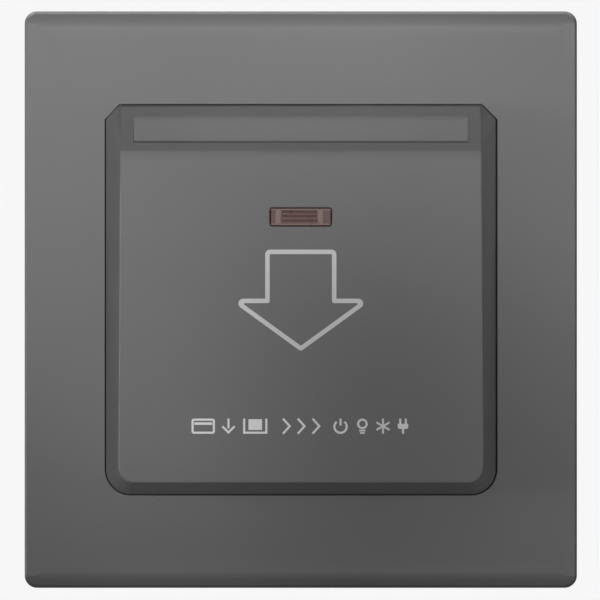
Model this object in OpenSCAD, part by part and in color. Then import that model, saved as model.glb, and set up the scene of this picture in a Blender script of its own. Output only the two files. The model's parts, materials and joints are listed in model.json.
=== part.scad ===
// Hotel key card switch for a flush wall box.
// X runs to the right, Y into the wall and Z up. The origin lies on the wall
// surface, midway between the two fixing screws. The front faces -Y.
// All sizes are in millimetres.

/* [Faceplate] */
// Width of the faceplate
plate_w = 90; // [89:0.5:92]
// Height of the faceplate
plate_h = 94; // [93:0.5:96]
// Distance from the wall to the front of the faceplate
plate_d = 8.5; // [8.4:0.1:8.8]
// Corner radius of the faceplate
plate_r = 2; // [1:0.1:4]
// Height of the rolled edge along the top and the bottom
roll_h = 2.1; // [1.5:0.1:2.5]
// How far the rolled edge drops back
roll_d = 0.75; // [0.3:0.05:0.9]
// Thickness of the faceplate's front wall and rim
plate_t = 2; // [1.6:0.1:2.2]
// Gap between the faceplate and the front cover
cover_gap = 0.2; // [0.1:0.05:0.3]

/* [Front cover] */
// Width and height of the front cover at the faceplate
cover_w = 63.5; // [63.3:0.1:63.7]
// Height of the front face above the faceplate, at its top edge
cover_h = 10; // [9.8:0.1:10.4]
// How much lower the front face is at its bottom edge
face_fall = 1; // [0.5:0.1:1.4]
// Distance of the face's top edge above the middle
face_top = 23.9; // [23.5:0.1:24.2]
// Distance of the face's bottom edge below the middle
face_bottom = 29.7; // [29.5:0.1:29.9]
// Half width of the face at its top edge
face_hw = 29.3; // [29.2:0.1:29.5]
// Size of the two chamfered top corners
corner_c = 2.4; // [2:0.1:2.8]
// Radius of the two rounded bottom corners
corner_r = 4.1; // [3.8:0.1:4.4]
// Height above the faceplate of the two cheeks beside the ramp, at their upper ends
cheek_h = 4.5; // [3:0.1:5.5]

/* [Card pocket] */
// Width of the card slot, for a card 53.98 wide
slot_w = 54.4; // [54.3:0.1:54.8]
// Thickness of the card slot at its mouth
slot_t = 4.64; // [4.5:0.02:4.8]
// Height of the slot's back wall above the faceplate
floor_h = 2.9; // [2.8:0.05:3]
// Room that the ribs leave for the card in the lower half
card_gap = 1.8; // [1.5:0.1:2.2]
// Distance of the pocket's bottom below the middle
pocket_bottom = 28; // [27.5:0.1:28.2]

/* [Indicator] */
// Width of the indicator window
lens_w = 10.26; // [9:0.02:11]
// Height of the indicator window
lens_h = 3.2; // [3:0.02:3.6]
// Height of the indicator window's middle
lens_z = 13.43; // [13:0.01:14]

/* [Mounting] */
// Distance between the two fixing screws
fix_pitch = 60.3; // [60:0.1:60.6]
// Width of each fixing slot
fix_w = 4.2; // [4:0.1:4.6]
// Length of each fixing slot
fix_l = 7.4; // [6.6:0.1:8]

/* [Mechanism] */
// Radius of the lever's pivot pin
pin_r = 1; // [0.9:0.05:1.1]
// Radial running clearance of the lever on its pin
pin_play = 0.05; // [0.03:0.01:0.08]
// How far the lever's nose stands into the pocket
nose_reach = 2.8; // [2.4:0.1:3]
// Wire radius of the return spring
spring_wire = 0.28; // [0.2:0.02:0.3]
// Radius of the wire holes in the terminals
wire_r = 1.9; // [1.6:0.05:2.1]

/* [Rear housing] */
// Depth of the housing behind the wall surface
housing_d = 28; // [28:0.5:32]
// Width of the housing
housing_w = 50; // [50:0.2:51]
// Height of the housing
housing_h = 56; // [56:0.2:58]
// Wall thickness of the housing
housing_t = 1.8; // [1.6:0.1:1.8]

/* [Hidden] */
$fn = 48;

// Heights of the main layers, front negative
pf = -plate_d;                    // front of the faceplate
floor_y = pf - floor_h;           // back wall of the card pocket
lip_y = floor_y - slot_t;         // inside of the front panel
face_y = pf - cover_h;            // front face at its top edge
frame_t = 4;                      // mounting frame, from the wall to -frame_t
flange_t = 1;                     // flange of the cover, on the mounting frame
cheek_t = 0.2;                    // crest of the cheeks
guide_t = 1.8;                    // card guide plate
guide_y = floor_y + guide_t;      // rear of the card guide plate
cw = cover_w / 2;
tilt = atan(face_fall / (face_top + face_bottom));
// Pivot of the lever, and the microswitch behind it
piv_y = -5.5;
piv_z = -4;
sw_z = -9.5;                      // middle of the microswitch
sw_x = 0.6;                       // its plunger
sw_y0 = 1;                        // its front
sw_y1 = 16.9;                     // its rear
blade_x = -6.6;                   // hinge of the contact blade
blade_y = 4.45;
// Lamp behind the window in the guide
lamp_y = -7.5;
// Terminals
term_x = [-12.5, 0, 12.5];
term_z = 17;
term_y0 = 16;
term_y1 = 26;
hw = housing_w / 2;
hh = housing_h / 2;
guide_screw = [20, 12];
frame_screw = [21.5, 24.5];
cover_grey = "#6b6b6b";

// ---- shared shapes -------------------------------------------------------

// Box between two corners
module bx(x0, x1, y0, y1, z0, z1)
    translate([x0, y0, z0]) cube([x1 - x0, y1 - y0, z1 - z0]);

// A shape drawn in X and Z, running from y0 to y1
module yext(y0, y1)
    translate([0, y1, 0]) rotate([90, 0, 0]) linear_extrude(y1 - y0) children();

// A shape drawn in Y and Z, running from x0 to x1
module xext(x0, x1)
    translate([x0, 0, 0]) rotate([90, 0, 90]) linear_extrude(x1 - x0) children();

// Round bars along the three axes
module bar_x(y, z, x0, x1, r)
    translate([x0, y, z]) rotate([0, 90, 0]) cylinder(h = x1 - x0, r = r);
module bar_y(x, z, y0, y1, r)
    translate([x, y1, z]) rotate([90, 0, 0]) cylinder(h = y1 - y0, r = r);
module bar_z(x, y, z0, z1, r)
    translate([x, y, z0]) cylinder(h = z1 - z0, r = r);

// Rectangle with round corners
module rrect(w, h, r) {
    square([w - 2 * r, h], center = true);
    square([w, h - 2 * r], center = true);
    for (x = [-1, 1], z = [-1, 1])
        translate([x * (w / 2 - r), z * (h / 2 - r)]) circle(r);
}

// Slot with round ends, along X
module slot2d(l, w) {
    square([l - w, w], center = true);
    for (x = [-1, 1]) translate([x * (l - w) / 2, 0]) circle(w / 2);
}

// Outline of the cover and of its opening: chamfered above, round below
module cover_outline(w, c, r) {
    h = w / 2;
    polygon([[-h, r - h], [-h, h - c], [c - h, h], [h - c, h], [h, h - c], [h, r - h]]);
    translate([r - h, -h]) square([w - 2 * r, r + 0.5]);
    for (x = [-1, 1]) translate([x * (h - r), r - h]) circle(r);
}

// Pan head screw along +Y, with the underside of its head at y and a cross recess
module screw_y(x, z, y, len, r, head_r, head_h) {
    difference() {
        union() {
            bar_y(x, z, y, y + len, r);
            bar_y(x, z, y - head_h, y, head_r);
        }
        bx(x - head_r * 0.6, x + head_r * 0.6, y - head_h - 1, y - head_h * 0.45, z - 0.3, z + 0.3);
        bx(x - 0.3, x + 0.3, y - head_h - 1, y - head_h * 0.45, z - head_r * 0.6, z + head_r * 0.6);
    }
}

// Tube swept along points that lie near planes across X
function unit(v) = v / norm(v);
function tangent(p, i) =
    i == 0 ? unit(p[1] - p[0]) :
    i == len(p) - 1 ? unit(p[i] - p[i - 1]) :
    unit(unit(p[i + 1] - p[i]) + unit(p[i] - p[i - 1]));
module sweep(p, r, sides = 8) {
    n = len(p);
    pts = [for (i = [0 : n - 1])
        let (t = tangent(p, i), u = unit(cross(t, [1, 0, 0])), v = cross(t, u))
        for (k = [0 : sides - 1])
            p[i] + r * (cos(360 * k / sides) * u + sin(360 * k / sides) * v)];
    faces = concat(
        [[for (k = [sides - 1 : -1 : 0]) k]],
        [for (i = [0 : n - 2], k = [0 : sides - 1])
            [i * sides + k, i * sides + (k + 1) % sides,
             (i + 1) * sides + (k + 1) % sides, (i + 1) * sides + k]],
        [[for (k = [0 : sides - 1]) (n - 1) * sides + k]]);
    polyhedron(pts, faces, convexity = 6);
}

// ---- outer pieces --------------------------------------------------------

// Side view of the faceplate's rolled top or bottom edge, drawn in Y and Z
function roll_edge(s) =
    let (r = (roll_h * roll_h + roll_d * roll_d) / (2 * roll_d), a1 = asin(roll_h / r))
    [for (i = [0 : 8]) let (a = a1 * i / 8)
        [pf + r * (1 - cos(a)), s * (plate_h / 2 - roll_h + r * sin(a))]];
function backward(v) = [for (i = [len(v) - 1 : -1 : 0]) v[i]];

// Frame with a rolled top and bottom edge, clipped on the mounting frame
module faceplate() color(cover_grey) {
    hook_x = 36;
    difference() {
        intersection() {
            yext(pf - 1, 0) rrect(plate_w, plate_h, plate_r);
            xext(-plate_w, plate_w)
                polygon(concat([[0, plate_h / 2]], [[0, -plate_h / 2]],
                    backward(roll_edge(-1)), roll_edge(1)));
        }
        difference() {
            yext(pf + plate_t, 1)
                rrect(plate_w - 2 * plate_t, plate_h - 2 * plate_t, max(0.4, plate_r - plate_t));
            yext(pf, -frame_t - flange_t - 0.2)
                cover_outline(cover_w + 2 * cover_gap + 3.2, corner_c + 0.9, corner_r + 1.6);
        }
        yext(pf - 2, 1) cover_outline(cover_w + 2 * cover_gap, corner_c + 0.1, corner_r + cover_gap);
    }
    // clips behind the front wall
    for (s = [-1, 1], z = [-22, 22]) {
        bx(s > 0 ? hook_x : -hook_x - 1.6, s > 0 ? hook_x + 1.6 : -hook_x,
            pf + plate_t - 0.2, -0.8, z - 3, z + 3);
        translate([0, 0, z - 3]) linear_extrude(6) mirror([s > 0 ? 0 : 1, 0])
            polygon([[hook_x + 1.4, -2.2], [hook_x + 2.3, -2.2], [hook_x + 1.6, -0.8], [hook_x + 1.4, -0.8]]);
    }
    // stiffening ribs between the rim and the opening
    for (s = [-1, 1], x = [-14, 14])
        bx(x - 0.6, x + 0.6, pf + plate_t - 0.2, pf + plate_t + 1.6,
            s > 0 ? cw + cover_gap + 1 : -plate_h / 2 + plate_t - 0.2,
            s > 0 ? plate_h / 2 - plate_t + 0.2 : -cw - cover_gap - 1);
}

// Front face of the cover, seen from the front
module face_outline() {
    r = 2.4;
    b = face_hw + 0.3;
    hull() {
        translate([-face_hw, face_top - 1]) square([2 * face_hw, 1]);
        for (x = [-1, 1]) translate([x * (b - r), r - face_bottom]) circle(r, $fn = 32);
    }
}

// Outside of the cover in front of the faceplate, with a ramp for the card
// that falls from the face to the faceplate between two low cheeks
module cover_block() difference() {
    hull() {
        yext(pf, pf + 0.05) cover_outline(cover_w, corner_c, corner_r, $fn = 32);
        translate([0, face_y, face_top]) rotate([tilt, 0, 0]) translate([0, 0, -face_top])
            yext(0, 0.05) face_outline();
        bx(corner_c - cw, cw - corner_c, pf - cheek_h, pf, cw - 0.05, cw);
    }
    xext(cheek_t - face_hw, face_hw - cheek_t)
        polygon([[face_y, face_top], [pf, cw], [pf, cw + 1], [face_y - 1, cw + 1], [face_y - 1, face_top]]);
}

// Card pocket front: sloping top with the card slot, ribs that lead the card to
// the guide, a window for the lens, and clips into the mounting frame
module front_cover() color(cover_grey) {
    sw = slot_w / 2;
    difference() {
        union() {
            cover_block();
            yext(pf, -frame_t) cover_outline(cover_w, corner_c, corner_r, $fn = 32);
            // flange that is held behind the edge of the faceplate's opening
            yext(-frame_t - flange_t, -frame_t)
                cover_outline(cover_w + 2, corner_c + 0.6, corner_r + 1, $fn = 32);
        }
        // card pocket, open at the top
        bx(-sw, sw, lip_y, floor_y, -pocket_bottom, cw + 10);
        // room for the card guide and the mechanism behind it
        bx(-29, 29, floor_y - 0.001, 0, -29.2, 24.4);
        bx(-29, 29, floor_y + 2, 0, 20, cw - 2.15);
        // indicator window, with a seat for the lens behind it
        translate([0, 0, lens_z]) {
            yext(face_y - 2, lip_y + 1) rrect(lens_w, lens_h, 0.5);
            yext(lip_y - 0.8, lip_y + 1) rrect(lens_w + 2.14, lens_h + 2.2, 0.5);
        }
    }
    for (x = [-18, 18]) xext(x - 0.6, x + 0.6)
        polygon([[lip_y - 0.3, -pocket_bottom - 0.2], [floor_y - card_gap, -pocket_bottom - 0.2],
            [floor_y - card_gap, -7], [lip_y, 4], [lip_y - 0.3, 4]]);
    for (s = [-1, 1], x = [-16, 16]) xext(x - 4, x + 4)
        polygon([[-frame_t - 2, s * 29.7], [-frame_t - 2, s * 31.1], [-2.2, s * 31.1], [-2.2, s * 31.9],
            [-1, s * 31.2], [-1, s * 29.7]]);
}

// Smoked red window with a flange, let into the cover from behind
module indicator_lens() color("#6e4a46", 0.7) translate([0, 0, lens_z]) {
    yext(lip_y - 2.0, lip_y - 0.74) rrect(lens_w - 0.16, lens_h - 0.16, 0.42);
    yext(lip_y - 0.76, lip_y - 0.04) rrect(lens_w + 1.94, lens_h + 2, 0.42);
}

// Back wall of the card pocket, which carries the lever, the lamp and the lamp's board
module card_guide() color("#4c4c4e") {
    gs = guide_screw;
    difference() {
        union() {
            bx(-28.6, 28.6, floor_y, guide_y, -28.8, 24.2);
            for (x = [-1, 1], z = [-1, 1]) bar_y(x * gs[0], z * gs[1], guide_y - 0.1, -frame_t, 2.8);
            // ears for the pivot pin
            for (x = [-1, 1]) bx(x > 0 ? 5.3 : -7.3, x > 0 ? 7.3 : -5.3, guide_y - 0.1, -2.9, piv_z - 3.2, piv_z + 3.2);
            // stop for the return spring's fixed leg
            bx(4.4, 5.5, guide_y - 0.1, -7.6, -11.2, -6);
            // posts for the lamp board
            for (x = [-10.8, 10.8]) {
                bar_y(x, lens_z, guide_y - 0.1, -5, 1.7);
                bar_y(x, lens_z, -5.1, -2.9, 0.8);
            }
            // cradle for the lamp
            for (x = [-4.4, 4.4]) bx(x - 0.5, x + 0.5, guide_y - 0.1, lamp_y - 0.6, lens_z - 3, lens_z + 3);
            // edge ribs
            for (x = [-27.9, 26.7]) bx(x, x + 1.2, guide_y - 0.1, guide_y + 2.2, -28, 23);
        }
        for (x = [-1, 1], z = [-1, 1]) bar_y(x * gs[0], z * gs[1], guide_y + 0.6, 0, 1.1);
        bar_x(piv_y, piv_z, -10, 10, pin_r);
        // windows for the lever's nose and for the lamp
        bx(-3.6, 3.6, floor_y - 1, guide_y + 0.01, -21.4, -9.6);
        translate([0, 0, lens_z]) yext(floor_y - 1, guide_y + 0.5) rrect(lens_w + 1, lens_h + 1, 0.6);
        bar_x(lamp_y, lens_z, -6.4, 5.8, 2.05);
    }
}

// Frame that is screwed on the wall box, with slots for the fixing screws
module mounting_frame() color("#d9d9d4") {
    gs = guide_screw;
    fs = frame_screw;
    difference() {
        yext(-frame_t, 0) rrect(82, 77, 3);
        // window for the mechanism
        translate([0, 0, -0.5]) yext(-10, 10) rrect(33, 47, 2);
        // fixing slots, with a recess for the screw heads
        for (x = [-1, 1]) translate([x * fix_pitch / 2, 0, 0]) {
            yext(-10, 10) slot2d(fix_l, fix_w);
            yext(-10, -2) slot2d(fix_l + 4.2, fix_w + 4.2);
        }
        for (x = [-1, 1], z = [-1, 1]) {
            bar_y(x * gs[0], z * gs[1], -10, 10, 1.4);
            bar_y(x * fs[0], z * fs[1], -10, 10, 1.4);
        }
        // windows for the faceplate's clips, wider behind
        for (s = [-1, 1], z = [-22, 22]) {
            bx(s > 0 ? 35.6 : -37.9, s > 0 ? 37.9 : -35.6, -10, 10, z - 3.4, z + 3.4);
            bx(s > 0 ? 35.6 : -38.8, s > 0 ? 38.8 : -35.6, -2.4, 10, z - 3.4, z + 3.4);
        }
        // windows for the cover's clips, wider behind
        for (s = [-1, 1], x = [-16, 16]) {
            bx(x - 4.3, x + 4.3, -10, 10, s > 0 ? 29.3 : -31.5, s > 0 ? 31.5 : -29.3);
            bx(x - 4.3, x + 4.3, -2.4, 10, s > 0 ? 29.3 : -32.4, s > 0 ? 32.4 : -29.3);
        }
    }
}

// Box behind the wall surface, with wire holes at the rear and screw holes on top
module rear_housing() color("#e4e3dd") {
    fs = frame_screw;
    t = housing_t;
    difference() {
        union() {
            difference() {
                yext(0, housing_d) rrect(housing_w, housing_h, 3);
                yext(-1, housing_d - t) rrect(housing_w - 2 * t, housing_h - 2 * t, 1.2);
            }
            // corner posts for the frame screws
            for (x = [-1, 1], z = [-1, 1]) bar_y(x * fs[0], z * fs[1], 0, 13, 2.9);
            // shelf under the microswitch
            bx(-hw + 1, hw - 1, 3, housing_d - 1, sw_z - 6.9, sw_z - 5.15);
            // seats under the terminals
            for (x = term_x) bx(x - 3, x + 3, term_y0 - 0.5, housing_d - 1, 11.6, 13.5);
        }
        for (x = [-1, 1], z = [-1, 1]) bar_y(x * fs[0], z * fs[1], -1, 11, 1.15);
        for (x = [-1, 1]) bar_z(x * 11.4, 13.6, sw_z - 8, sw_z, 1.5);
        for (x = term_x) {
            bar_y(x, term_z, housing_d - 4, housing_d + 1, wire_r + 0.5);
            bar_z(x, 22, 24, hh + 1, 3.3);
        }
    }
}

// Screws that hold the rear housing to the mounting frame
module frame_screws() color("silver")
    for (x = [-1, 1], z = [-1, 1])
        screw_y(x * frame_screw[0], z * frame_screw[1], -frame_t, 12.5, 1.12, 2.6, 1.8);

// Screws that hold the card guide to the mounting frame, from behind
module guide_screws() color("silver")
    for (x = [-1, 1], z = [-1, 1])
        mirror([0, 1, 0]) screw_y(x * guide_screw[0], z * guide_screw[1], 0, 8, 1.06, 2.5, 1.7);

// ---- mechanism -----------------------------------------------------------

// Lever that the card pushes back: hub, arm, sloping nose, stop toe and heel
module actuator_lever() color("#e8e2d0") {
    nose_y = floor_y - nose_reach;
    difference() {
        union() {
            bar_x(piv_y, piv_z, -4.6, 2.2, 2.5);
            xext(-4.6, 2.2)
                polygon([[-3.6, piv_z], [-3.5, -12], [-7.6, -12], [-8.0, -9], [-7.4, piv_z]]);
            xext(-3, 3)
                polygon([[-3.5, -11.5], [-3.5, -20.4], [-6, -22.6], [guide_y + 0.2, -22.6], [guide_y + 0.2, -21.2],
                    [guide_y - 0.4, -20.7], [floor_y, -20.4], [nose_y + 0.6, -18.9], [nose_y, -18],
                    [nose_y + 0.3, -17.2], [-8.5, -9.6], [-7.6, -8]]);
            // heel that presses the plunger
            bar_x(-2.4, sw_z, -1.2, 2.2, 1.5);
            bx(-1.2, 2.2, -3.6, -2.4, sw_z - 1.5, sw_z + 1.5);
            // catch for the spring's moving leg
            bx(2, 3.5, -5.6, -4.25, -10.4, -8.2);
        }
        bar_x(piv_y, piv_z, -10, 10, pin_r + pin_play);
    }
}

// Pin pressed through the guide's ears
module lever_pin() color("silver") {
    bar_x(piv_y, piv_z, -7.7, 7.4, pin_r);
    bar_x(piv_y, piv_z, 7.3, 8, 1.7);
}

// Torsion spring on the pin
module return_spring() color("#b9bcc0") {
    r = 1.75;
    turns = 3.5;
    x0 = 2.75;
    steps = 70;
    coil = [for (i = [0 : steps]) let (a = 360 * turns * i / steps)
        [x0 + 2.1 * i / steps, piv_y + r * cos(a), piv_z + r * sin(a)]];
    sweep(concat([[x0, piv_y + r, -10.2], [x0, piv_y + r, -7]], coil,
        [[x0 + 2.1, piv_y - r, -7], [x0 + 2.1, piv_y - r, -10.8]]), spring_wire, 8);
}

// Microswitch box, open above
module microswitch_case() color("#2d2d30") {
    z0 = sw_z - 5.15;
    z1 = sw_z + 3.95;
    difference() {
        bx(-13.9, 13.9, sw_y0, sw_y1, z0, z1);
        difference() {
            bx(-12.7, 12.7, sw_y0 + 1.2, sw_y1 - 1.2, z0 + 1.2, z1 + 1);
            for (x = [-1, 1]) {
                bar_z(x * 11.4, 13.6, z0, z1 + 2, 2.5);
                bx(x > 0 ? 11.4 : -13.9, x > 0 ? 13.9 : -11.4, 11.1, 16, z0, z1 + 2);
            }
        }
        for (x = [-1, 1]) bar_z(x * 11.4, 13.6, z0 - 1, z1 + 1, 1.5);
        bar_y(sw_x, sw_z, sw_y0 - 1, sw_y0 + 2, 1.48);
        // ways out for the busbars and the rest contact
        for (x = [-8.6, 7.6]) bx(x, x + 1, sw_y1 - 2, sw_y1 + 1, sw_z - 2.6, sw_z + 2.6);
        bx(12, 15, 2.3, 3.3, sw_z - 2.1, sw_z + 2.1);
    }
}

// Lid of the microswitch
module microswitch_lid() color("#3a3a3e") {
    z1 = sw_z + 3.95;
    difference() {
        union() {
            bx(-13.9, 13.9, sw_y0, sw_y1, z1, z1 + 1.2);
            bx(-12.4, 12.4, sw_y0 + 1.5, 10.6, z1 - 0.5, z1 + 0.1);
        }
        for (x = [-1, 1]) bar_z(x * 11.4, 13.6, z1 - 1, z1 + 3, 1.5);
    }
}

// Screws through the microswitch into the shelf
module microswitch_screws() color("silver") {
    z1 = sw_z + 5.15;
    for (x = [-1, 1]) difference() {
        union() {
            bar_z(x * 11.4, 13.6, sw_z - 7.6, z1, 1.42);
            bar_z(x * 11.4, 13.6, z1, z1 + 1.7, 2.5);
        }
        bx(x * 11.4 - 3, x * 11.4 + 3, 13.25, 13.95, z1 + 0.9, z1 + 3);
    }
}

// Plunger of the microswitch
module microswitch_plunger() color("#b3261e") {
    bar_y(sw_x, sw_z, -0.55, 2.5, 1.4);
    bar_y(sw_x, sw_z, -0.75, 0, 1.2);
    bar_y(sw_x, sw_z, 2.4, 3.2, 2.1);
    bar_y(sw_x, sw_z, 3.1, 4.1, 0.8);
}

// Moving blade, with a rolled root that turns in the busbar's clip
module contact_blade() color("#b87a3d") {
    bar_z(blade_x, blade_y, sw_z - 2, sw_z + 2, 0.5);
    difference() {
        bx(blade_x, 10, blade_y - 0.15, blade_y + 0.15, sw_z - 2, sw_z + 2);
        bar_y(8, sw_z, 0, 10, 0.6);
    }
}

// Silver rivet on the moving blade
module moving_contact() color("#d8d8d8") {
    bar_y(8, sw_z, blade_y - 0.6, blade_y - 0.15, 1.2);
    bar_y(8, sw_z, blade_y - 0.2, blade_y + 0.2, 0.6);
    bar_y(8, sw_z, blade_y + 0.15, blade_y + 0.75, 1.2);
}

// Brass strip from a clip or a contact in the microswitch to a terminal's side
module busbar(x0, y0) xext(x0, x0 + 0.8)
    polygon([[y0, sw_z - 2.5], [21, sw_z - 2.5], [21, 21.4], [17.4, 21.4], [17.4, sw_z + 2.5], [y0, sw_z + 2.5]]);

module common_busbar() color("#c9a24a") {
    busbar(-8.5, 3.2);
    difference() {
        bar_z(blade_x, blade_y, sw_z - 2.5, sw_z + 2.5, 1.3);
        bar_z(blade_x, blade_y, sw_z - 3, sw_z + 3, 0.56);
        bx(blade_x + 0.1, blade_x + 2, blade_y - 0.45, blade_y + 0.45, sw_z - 3, sw_z + 3);
    }
}

module load_busbar() color("#c9a24a") difference() {
    union() {
        busbar(7.7, 7.95);
        bx(6.3, 10, 7.95, 8.75, sw_z - 2.1, sw_z + 2.1);
    }
    bar_y(8, sw_z, 7, 8.76, 0.6);
}

// Contact that the blade rests on while no card is in
module rest_contact() color("#c9a24a") difference() {
    bx(6.2, 17.6, 2.4, 3.2, sw_z - 2, sw_z + 2);
    bar_y(8, sw_z, 2, 4, 0.6);
    bar_y(16, sw_z, 2, 4, 0.7);
}

// Silver rivets on the two fixed contacts
module fixed_contacts() color("#d8d8d8") {
    bar_y(8, sw_z, 3.2, 3.7, 1.2);
    bar_y(8, sw_z, 2.4, 3.3, 0.6);
    bar_y(8, sw_z, 7.45, 7.95, 1.2);
    bar_y(8, sw_z, 7.9, 8.75, 0.6);
}

// ---- terminals and lamp --------------------------------------------------

// Brass block with a wire hole at the rear and a clamping screw from above
module terminal(x) color("#c9a24a") difference() {
    bx(x - 4, x + 4, term_y0, term_y1, 13.5, 22.5);
    bar_y(x, term_z, term_y1 - 8.5, term_y1 + 1, wire_r);
    bar_z(x, 22, term_z, 23, 1.76);
}
module line_terminal() terminal(term_x[0]);
module neutral_terminal() terminal(term_x[1]);
module load_terminal() terminal(term_x[2]);

// Clamping screws of the three terminals, backed off
module terminal_screws() color("silver") for (x = term_x) difference() {
    union() {
        bar_z(x, 22, term_z + wire_r + 0.4, 23.2, 1.7);
        bar_z(x, 22, 23.1, 25.2, 2.8);
    }
    bx(x - 4, x + 4, 21.55, 22.45, 24.1, 26);
}

// Board that carries the lamp and its resistor
module lamp_board() color("#8a6a3a") difference() {
    bx(-13, 13, -5, -3.4, lens_z - 6, lens_z + 6);
    for (x = [-10.8, 10.8]) bar_y(x, lens_z, -6, -3, 0.86);
    for (z = [-0.75, 0.75]) bar_y(6.8, lens_z + z, -6, -3, 0.36);
    for (x = [-5.2, 5.2]) bar_y(x, lens_z + 4.1, -6, -3, 0.36);
}

// Glass tube of the neon lamp
module neon_lamp() color("#e9d9cf", 0.5) difference() {
    translate([-5.6, lamp_y, lens_z]) rotate([0, 90, 0]) rotate_extrude()
        polygon([[0, 0], [0.9, 0.1], [1.6, 0.6], [2, 1.4], [2, 10.4], [1.5, 11], [0, 11],
            [0, 9.6], [1.5, 9.6], [1.62, 9.4], [1.62, 1.6], [1.3, 0.9], [0.7, 0.5], [0, 0.42]]);
    for (z = [-0.75, 0.75]) bar_x(lamp_y, lens_z + z, 3, 7, 0.36);
}

// Two electrodes, whose leads turn back into the board
module lamp_electrodes() color("#b8b4ae") for (z = [-0.75, 0.75]) {
    bar_x(lamp_y, lens_z + z, -3.6, 6.8, 0.34);
    translate([6.8, lamp_y, lens_z + z]) sphere(0.34);
    bar_y(6.8, lens_z + z, lamp_y, -2.7, 0.34);
}

// Resistor in series with the lamp
module dropping_resistor() color("#c8b088") {
    z = lens_z + 4.1;
    bar_x(-6.3, z, -3.2, 3.2, 1.05);
    for (x = [-1, 1]) bar_x(-6.3, z, x > 0 ? 2 : -3.4, x > 0 ? 3.4 : -2, 1.2);
    bar_x(-6.3, z, -5.2, 5.2, 0.3);
    for (x = [-5.2, 5.2]) {
        translate([x, -6.3, z]) sphere(0.3);
        bar_y(x, z, -6.3, -2.7, 0.3);
    }
}

// Insulated leads from the board to the line and neutral terminals
module lamp_lead_line() color("#8c2a22") bar_y(-11.5, 17.2, -3.4, term_y0, 0.65);
module lamp_lead_neutral() color("#2a4f8c") bar_y(0, 17.2, -3.4, term_y0, 0.65);

faceplate();
front_cover();
indicator_lens();
card_guide();
mounting_frame();
rear_housing();
frame_screws();
guide_screws();
actuator_lever();
lever_pin();
return_spring();
microswitch_case();
microswitch_lid();
microswitch_screws();
microswitch_plunger();
contact_blade();
moving_contact();
common_busbar();
load_busbar();
rest_contact();
fixed_contacts();
line_terminal();
neutral_terminal();
load_terminal();
terminal_screws();
lamp_board();
neon_lamp();
lamp_electrodes();
dropping_resistor();
lamp_lead_line();
lamp_lead_neutral();
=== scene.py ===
import json
import math

import bmesh
import bpy
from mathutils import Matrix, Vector


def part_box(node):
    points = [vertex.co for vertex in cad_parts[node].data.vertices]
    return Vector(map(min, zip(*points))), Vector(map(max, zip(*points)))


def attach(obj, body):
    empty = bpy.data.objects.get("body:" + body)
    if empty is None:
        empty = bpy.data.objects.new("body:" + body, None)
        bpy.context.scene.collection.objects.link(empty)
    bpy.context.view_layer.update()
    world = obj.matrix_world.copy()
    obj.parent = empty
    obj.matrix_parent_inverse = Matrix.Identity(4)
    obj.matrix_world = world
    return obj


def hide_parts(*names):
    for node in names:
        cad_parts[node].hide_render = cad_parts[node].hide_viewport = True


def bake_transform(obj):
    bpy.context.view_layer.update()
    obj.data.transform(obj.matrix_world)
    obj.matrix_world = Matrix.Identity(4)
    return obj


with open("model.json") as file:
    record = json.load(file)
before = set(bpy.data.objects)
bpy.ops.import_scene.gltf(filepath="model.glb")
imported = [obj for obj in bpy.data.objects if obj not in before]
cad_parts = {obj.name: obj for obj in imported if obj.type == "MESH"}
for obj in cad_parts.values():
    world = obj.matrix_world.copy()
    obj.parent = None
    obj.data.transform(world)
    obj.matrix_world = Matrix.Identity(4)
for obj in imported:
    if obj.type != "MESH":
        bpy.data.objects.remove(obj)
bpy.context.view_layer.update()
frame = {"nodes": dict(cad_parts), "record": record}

NODES = frame["nodes"]
SCENE = bpy.context.scene
MM = 0.001
BODY_OF = {n: b for b, ns in frame["record"]["behaviour"]["bodies"].items() for n in ns}
SLOT_OF = {s["node"]: s["material_slot"] for s in frame["record"]["subparts"]}

# Main dimensions of the front, in millimetres
PLATE_FRONT = -8.5
FACE_TOP_Z, FACE_TOP_Y = 23.9, -18.5
FACE_FALL = 1 / 53.6
RAMP_TOP_Z, RAMP_RISE, RAMP_LOWER = 31.755, 1.273, 0.36
LENS_Z = 13.43
LENS_HW, LENS_HH = 5.05, 1.52
RIDGE_X, RIDGE_Z, RIDGE_PITCH = -0.24, -0.24, 0.72
SLOT_HW = 27.2
CHEEK_X = 29.1
ROLL_START, ROLL_BEND, ROLL_END = 4.4, 2.7, 0.5
FLOOR_Y, LIP_Y = -11.4, -16.04
PIVOT = (0.0, -5.5, -4.0)


def face_y(z):
    """Front face of the cover at height z."""
    return FACE_TOP_Y + (FACE_TOP_Z - z) * FACE_FALL


# ---------------------------------------------------------------- materials

def tree(name):
    m = bpy.data.materials.new(name)
    m.use_nodes = True
    t = m.node_tree
    t.nodes.clear()
    out = t.nodes.new("ShaderNodeOutputMaterial")
    s = t.nodes.new("ShaderNodeBsdfPrincipled")
    t.links.new(s.outputs["BSDF"], out.inputs["Surface"])
    return m, t, s


def coords(t, scale=(1, 1, 1)):
    c = t.nodes.new("ShaderNodeTexCoord")
    v = t.nodes.new("ShaderNodeMapping")
    v.inputs["Scale"].default_value = scale
    t.links.new(c.outputs["Object"], v.inputs["Vector"])
    return v.outputs["Vector"]


def noise(t, vec, scale, detail=3.0, rough=0.55):
    n = t.nodes.new("ShaderNodeTexNoise")
    n.inputs["Scale"].default_value = scale
    n.inputs["Detail"].default_value = detail
    n.inputs["Roughness"].default_value = rough
    t.links.new(vec, n.inputs["Vector"])
    return n.outputs["Fac"]


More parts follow.
